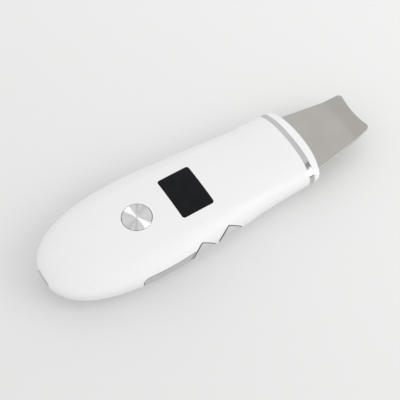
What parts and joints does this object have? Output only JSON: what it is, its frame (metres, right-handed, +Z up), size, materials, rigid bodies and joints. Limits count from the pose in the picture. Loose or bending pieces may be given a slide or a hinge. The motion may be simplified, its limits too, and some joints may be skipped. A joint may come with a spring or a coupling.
{
  "type": "skin scrubber",
  "caption": "Hand-held ultrasonic skin scrubber: pebble-shaped housing with display, round power button, side keys, contact strips and a steel spatula with a bent concave tip.",
  "frame": {"origin": "on the resting surface, below the middle of the whole length", "axes": "+X towards the spatula's tip, +Z up through the display, +Y to the side without keys"},
  "size_m": [0.169, 0.052, 0.0231],
  "materials": {
    "shell_white": "high gloss moulded ABS",
    "collar_white": "gloss moulded ABS",
    "ring_chrome": "bright chrome plating",
    "seal_silicone": "matt silicone",
    "blade_steel": "satin stainless sheet",
    "window_black": "polished acrylic, printed black behind",
    "lcd_glass": "dark display glass",
    "inner_plastic": "plain moulded",
    "flex_orange": "polyimide film",
    "button_aluminium": "spun, with fine rings",
    "switch_black": "moulded",
    "key_silver": "satin chrome plating",
    "strip_silver": "satin chrome plating",
    "spring_bronze": "stamped strip",
    "board_green": "solder mask",
    "screw_steel": "zinc plated",
    "core_ferrite": "sintered ferrite",
    "can_aluminium": "drawn can",
    "port_steel": "stamped shell",
    "cell_wrap": "foil pouch",
    "web_black": "matt silicone and adhesive film",
    "foam_grey": "foam",
    "wire_red": "insulated wire",
    "piezo_ceramic": "silvered ceramic",
    "clamp_steel": "stamped plate"
  },
  "bodies": {
    "housing": {"battery_cell": "cell_wrap", "battery_foam_pad": "foam_grey", "battery_leads": "wire_red", "blade_clamp_plate": "clamp_steel", "blade_seal": "seal_silicone", "board_screws": "screw_steel", "clamp_screws": "screw_steel", "controller_chip": "switch_black", "display_flex": "flex_orange", "display_window": "window_black", "filter_capacitor": "can_aluminium", "front_collar": "collar_white", "head_trim_ring": "ring_chrome", "isolation_grommets": "seal_silicone", "key_webs": "web_black", "lcd_holder": "inner_plastic", "lcd_module": "lcd_glass", "left_contact_strip": "strip_silver", "level_switch": "switch_black", "lower_shell": "shell_white", "main_board": "board_green", "mode_switch": "switch_black", "piezo_disc_lower": "piezo_ceramic", "piezo_disc_upper": "piezo_ceramic", "port_tongue": "switch_black", "power_switch": "switch_black", "right_contact_strip": "strip_silver", "spatula_blade": "blade_steel", "step_up_transformer": "core_ferrite", "strip_contact_springs": "spring_bronze", "strip_films": "web_black", "transducer_leads": "wire_red", "upper_shell": "shell_white", "usb_c_port": "port_steel"},
    "power_button": {"power_button_cap": "button_aluminium", "power_button_plunger": "switch_black", "power_switch_stem": "switch_black"},
    "mode_button": {"mode_key": "key_silver", "mode_switch_stem": "switch_black"},
    "level_button": {"level_key": "key_silver", "level_switch_stem": "switch_black"}
  },
  "joints": [
    {"name": "power_press", "type": "slide", "parent": "housing", "child": "power_button", "axis": [0, 0, -1], "range_m": [0, 0.0004], "stiffness_N_per_m": 4000},
    {"name": "mode_press", "type": "slide", "parent": "housing", "child": "mode_button", "axis": [0, 1, 0], "range_m": [0, 0.00035], "stiffness_N_per_m": 4000},
    {"name": "level_press", "type": "slide", "parent": "housing", "child": "level_button", "axis": [0, 1, 0], "range_m": [0, 0.00035], "stiffness_N_per_m": 4000}
  ]
}
